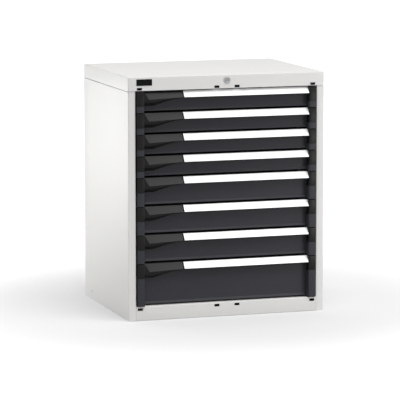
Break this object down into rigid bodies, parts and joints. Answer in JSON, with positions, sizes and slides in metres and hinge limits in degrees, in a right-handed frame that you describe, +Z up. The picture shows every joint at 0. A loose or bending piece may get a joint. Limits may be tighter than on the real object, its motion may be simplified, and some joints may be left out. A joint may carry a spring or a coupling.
{
  "type": "steel drawer cabinet",
  "caption": "Low steel workshop cabinet with full-extension drawers, sloping label grips and a central lock under a flat lid.",
  "frame": {"origin": "middle of the footprint, on the floor", "axes": "+Z up, drawers open towards -Y, +X to the right seen from the front"},
  "size_m": [0.717, 0.572, 0.85],
  "materials": {
    "carcass_paint": "fine-textured light grey powder coat",
    "drawer_paint": "fine-textured anthracite powder coat",
    "handle_profile": "black satin extruded grip",
    "label_strip": "white label under a clear cover",
    "cap_plastic": "dark grey moulded plastic",
    "zinc_steel": "bright zinc plate",
    "lock_chrome": "satin chrome",
    "badge_plastic": "plain black plate"
  },
  "bodies": {
    "carcass": {"left_side": "carcass_paint", "right_side": "carcass_paint", "base_frame": "carcass_paint", "top_cover": "carcass_paint", "back_panel": "carcass_paint", "corner_posts": "zinc_steel", "fixed_rails": "zinc_steel", "bar_guides": "zinc_steel", "lock_housing": "lock_chrome", "badge_plate": "badge_plastic"},
    "lock_plug": {"lock_cylinder": "lock_chrome"},
    "lock_bar": {"lock_bar": "zinc_steel"},
    "drawer_1": {"drawer_1_tray": "drawer_paint", "drawer_1_front": "drawer_paint", "drawer_1_handle": "handle_profile", "drawer_1_label": "label_strip", "drawer_1_end_caps": "cap_plastic"},
    "slide_1": {"mid_rails_1": "zinc_steel"},
    "drawer_2": {"drawer_2_tray": "drawer_paint", "drawer_2_front": "drawer_paint", "drawer_2_handle": "handle_profile", "drawer_2_label": "label_strip", "drawer_2_end_caps": "cap_plastic"},
    "slide_2": {"mid_rails_2": "zinc_steel"},
    "drawer_3": {"drawer_3_tray": "drawer_paint", "drawer_3_front": "drawer_paint", "drawer_3_handle": "handle_profile", "drawer_3_label": "label_strip", "drawer_3_end_caps": "cap_plastic"},
    "slide_3": {"mid_rails_3": "zinc_steel"},
    "drawer_4": {"drawer_4_tray": "drawer_paint", "drawer_4_front": "drawer_paint", "drawer_4_handle": "handle_profile", "drawer_4_label": "label_strip", "drawer_4_end_caps": "cap_plastic"},
    "slide_4": {"mid_rails_4": "zinc_steel"},
    "drawer_5": {"drawer_5_tray": "drawer_paint", "drawer_5_front": "drawer_paint", "drawer_5_handle": "handle_profile", "drawer_5_label": "label_strip", "drawer_5_end_caps": "cap_plastic"},
    "slide_5": {"mid_rails_5": "zinc_steel"},
    "drawer_6": {"drawer_6_tray": "drawer_paint", "drawer_6_front": "drawer_paint", "drawer_6_handle": "handle_profile", "drawer_6_label": "label_strip", "drawer_6_end_caps": "cap_plastic"},
    "slide_6": {"mid_rails_6": "zinc_steel"},
    "drawer_7": {"drawer_7_tray": "drawer_paint", "drawer_7_front": "drawer_paint", "drawer_7_handle": "handle_profile", "drawer_7_label": "label_strip", "drawer_7_end_caps": "cap_plastic"},
    "slide_7": {"mid_rails_7": "zinc_steel"},
    "drawer_8": {"drawer_8_tray": "drawer_paint", "drawer_8_front": "drawer_paint", "drawer_8_handle": "handle_profile", "drawer_8_label": "label_strip", "drawer_8_end_caps": "cap_plastic"},
    "slide_8": {"mid_rails_8": "zinc_steel"}
  },
  "joints": [
    {"name": "key_turn", "type": "hinge", "parent": "carcass", "child": "lock_plug", "pos_m": [0, -0.279, 0.831], "axis": [0, -1, 0], "range_deg": [0, 90]},
    {"name": "lock_bar_lift", "type": "slide", "parent": "carcass", "child": "lock_bar", "axis": [0, 0, 1], "range_m": [0, 0.01]},
    {"name": "drawer_1_pull", "type": "slide", "parent": "carcass", "child": "drawer_1", "axis": [0, -1, 0], "range_m": [0, 0.48]},
    {"name": "slide_1_travel", "type": "slide", "parent": "carcass", "child": "slide_1", "axis": [0, -1, 0], "range_m": [0, 0.24]},
    {"name": "drawer_2_pull", "type": "slide", "parent": "carcass", "child": "drawer_2", "axis": [0, -1, 0], "range_m": [0, 0.48]},
    {"name": "slide_2_travel", "type": "slide", "parent": "carcass", "child": "slide_2", "axis": [0, -1, 0], "range_m": [0, 0.24]},
    {"name": "drawer_3_pull", "type": "slide", "parent": "carcass", "child": "drawer_3", "axis": [0, -1, 0], "range_m": [0, 0.48]},
    {"name": "slide_3_travel", "type": "slide", "parent": "carcass", "child": "slide_3", "axis": [0, -1, 0], "range_m": [0, 0.24]},
    {"name": "drawer_4_pull", "type": "slide", "parent": "carcass", "child": "drawer_4", "axis": [0, -1, 0], "range_m": [0, 0.48]},
    {"name": "slide_4_travel", "type": "slide", "parent": "carcass", "child": "slide_4", "axis": [0, -1, 0], "range_m": [0, 0.24]},
    {"name": "drawer_5_pull", "type": "slide", "parent": "carcass", "child": "drawer_5", "axis": [0, -1, 0], "range_m": [0, 0.48]},
    {"name": "slide_5_travel", "type": "slide", "parent": "carcass", "child": "slide_5", "axis": [0, -1, 0], "range_m": [0, 0.24]},
    {"name": "drawer_6_pull", "type": "slide", "parent": "carcass", "child": "drawer_6", "axis": [0, -1, 0], "range_m": [0, 0.48]},
    {"name": "slide_6_travel", "type": "slide", "parent": "carcass", "child": "slide_6", "axis": [0, -1, 0], "range_m": [0, 0.24]},
    {"name": "drawer_7_pull", "type": "slide", "parent": "carcass", "child": "drawer_7", "axis": [0, -1, 0], "range_m": [0, 0.48]},
    {"name": "slide_7_travel", "type": "slide", "parent": "carcass", "child": "slide_7", "axis": [0, -1, 0], "range_m": [0, 0.24]},
    {"name": "drawer_8_pull", "type": "slide", "parent": "carcass", "child": "drawer_8", "axis": [0, -1, 0], "range_m": [0, 0.48]},
    {"name": "slide_8_travel", "type": "slide", "parent": "carcass", "child": "slide_8", "axis": [0, -1, 0], "range_m": [0, 0.24]}
  ],
  "couplings": [
    {"joint": "key_turn", "follows": "lock_bar_lift", "rad_per_m": 157.08},
    {"joint": "slide_1_travel", "follows": "drawer_1_pull", "ratio": 0.5},
    {"joint": "slide_2_travel", "follows": "drawer_2_pull", "ratio": 0.5},
    {"joint": "slide_3_travel", "follows": "drawer_3_pull", "ratio": 0.5},
    {"joint": "slide_4_travel", "follows": "drawer_4_pull", "ratio": 0.5},
    {"joint": "slide_5_travel", "follows": "drawer_5_pull", "ratio": 0.5},
    {"joint": "slide_6_travel", "follows": "drawer_6_pull", "ratio": 0.5},
    {"joint": "slide_7_travel", "follows": "drawer_7_pull", "ratio": 0.5},
    {"joint": "slide_8_travel", "follows": "drawer_8_pull", "ratio": 0.5}
  ]
}
